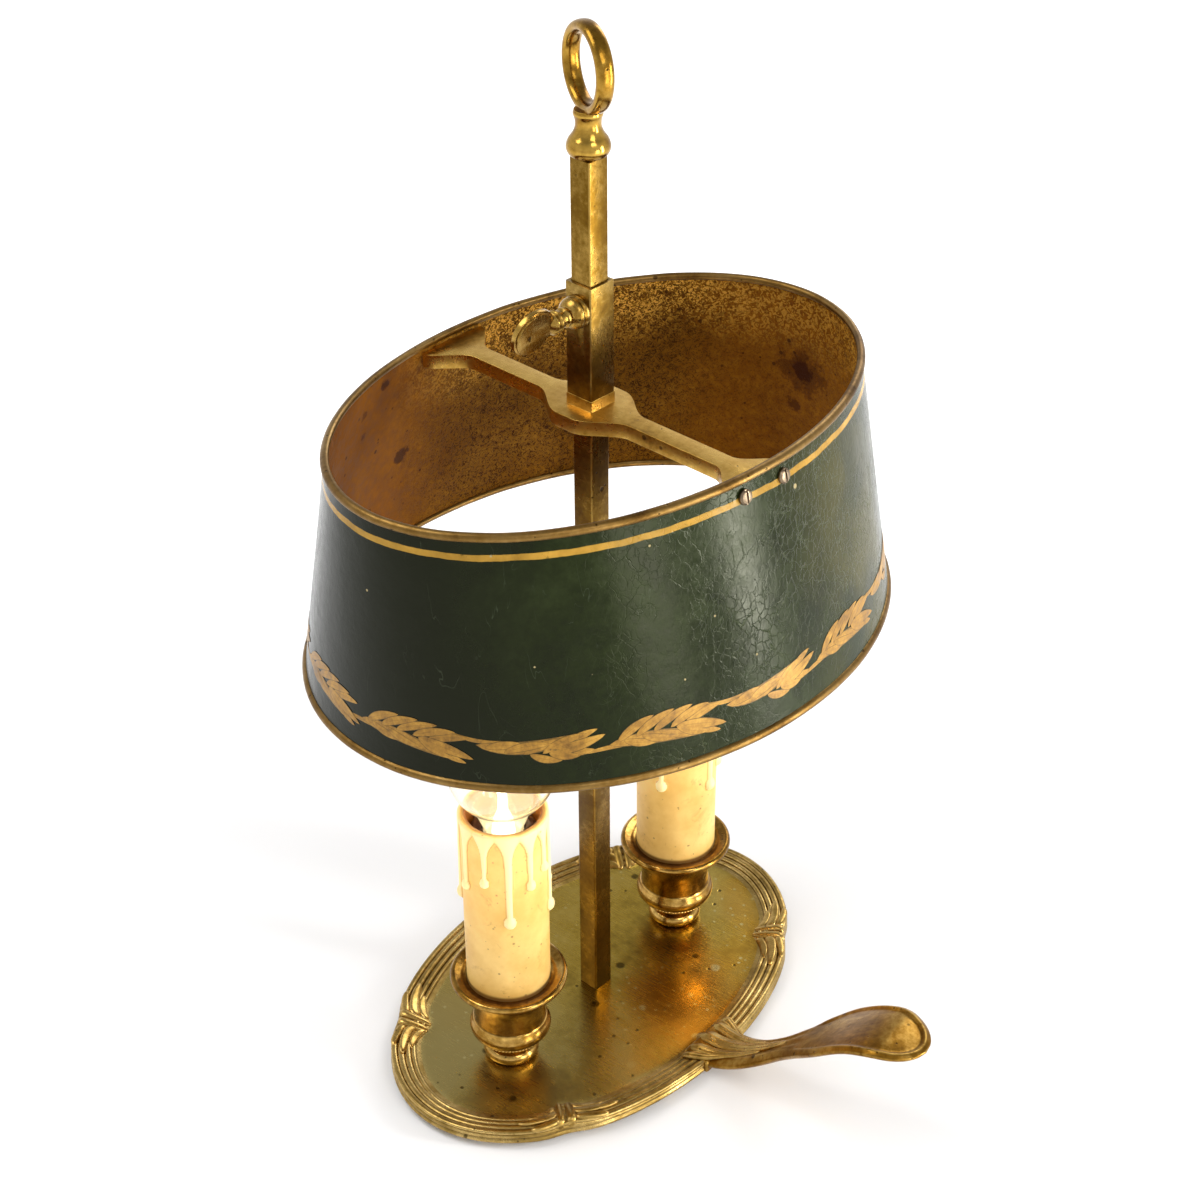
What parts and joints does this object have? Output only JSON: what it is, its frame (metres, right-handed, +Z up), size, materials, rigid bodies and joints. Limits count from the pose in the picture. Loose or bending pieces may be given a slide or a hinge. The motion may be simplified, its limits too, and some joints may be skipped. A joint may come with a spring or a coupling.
{
  "type": "bouillotte lamp",
  "caption": "Table lamp with an oval handled tray, candle lights on cups, a square stem with a ring finial, and an oval metal shade on a sliding cross arm held by a thumbscrew.",
  "frame": {"origin": "on the table plane, under the axis of the square stem", "axes": "+Z up along the stem; X through both candle lights; the handle points to -Y"},
  "size_m": [0.2637, 0.2719, 0.4513],
  "materials": {
    "tray_brass": "aged, brushed, brown specks",
    "polished_brass": "polished, slightly worn",
    "stem_brass": "dark brown patina with bright edges",
    "fitting_brass": "aged, satin",
    "arm_brass": "satin, bright",
    "edge_brass": "worn, brown and gold",
    "shade_paint": "semi-gloss, crazed, gold stripe and leaf border",
    "screw_steel": "dark",
    "plated_steel": "zinc plated",
    "cover_steel": "matte",
    "felt": "felt",
    "gland_plastic": "matte",
    "terminal_ceramic": "unglazed",
    "lead_insulation": "matte",
    "candle_resin": "waxy, translucent, small specks",
    "holder_plastic": "phenolic",
    "contact_brass": "bright",
    "bulb_cap_metal": "bright",
    "bulb_glass": "clear",
    "filament": "glowing"
  },
  "bodies": {
    "base": {"tray": "tray_brass", "handle": "tray_brass", "base_cover": "cover_steel", "base_felt": "felt", "cover_screws": "screw_steel", "cord_gland": "gland_plastic", "terminal_block": "terminal_ceramic", "lead_a": "lead_insulation", "lead_b": "lead_insulation", "stem": "stem_brass", "stem_washer": "plated_steel", "stem_nut": "plated_steel", "finial": "polished_brass", "finial_stud": "plated_steel", "cup_a": "polished_brass", "cup_b": "polished_brass", "tube_a": "plated_steel", "tube_b": "plated_steel", "cup_nuts": "plated_steel", "candle_a": "candle_resin", "candle_b": "candle_resin", "lampholder_a": "holder_plastic", "lampholder_b": "holder_plastic", "screw_shell_a": "contact_brass", "screw_shell_b": "contact_brass", "centre_contact_a": "contact_brass", "centre_contact_b": "contact_brass"},
    "carriage": {"slide_sleeve": "stem_brass", "screw_boss": "fitting_brass", "cross_arm": "arm_brass", "shade_panel": "shade_paint", "shade_top_edge": "edge_brass", "shade_bottom_edge": "edge_brass", "shade_screws": "screw_steel"},
    "thumbscrew": {"thumbscrew": "fitting_brass"},
    "bulb_a": {"bulb_cap_a": "bulb_cap_metal", "bulb_glass_a": "bulb_glass", "bulb_mount_a": "bulb_glass", "filament_a": "filament"},
    "bulb_b": {"bulb_cap_b": "bulb_cap_metal", "bulb_glass_b": "bulb_glass", "bulb_mount_b": "bulb_glass", "filament_b": "filament"}
  },
  "joints": [
    {"name": "shade_height", "type": "slide", "parent": "base", "child": "carriage", "axis": [0, 0, 1], "range_m": [-0.15, 0.045]},
    {"name": "thumbscrew_turn", "type": "hinge", "parent": "carriage", "child": "thumbscrew", "pos_m": [-0.00648, 0.00045, 0.3425], "axis": [-0.9976, 0.0698, 0], "range_deg": [0, 720]},
    {"name": "bulb_a_turn", "type": "hinge", "parent": "base", "child": "bulb_a", "pos_m": [-0.0577, 0, 0.106], "axis": [0, 0, 1], "range_deg": [0, 900]},
    {"name": "bulb_b_turn", "type": "hinge", "parent": "base", "child": "bulb_b", "pos_m": [0.0577, 0, 0.106], "axis": [0, 0, 1], "range_deg": [0, 900]}
  ]
}
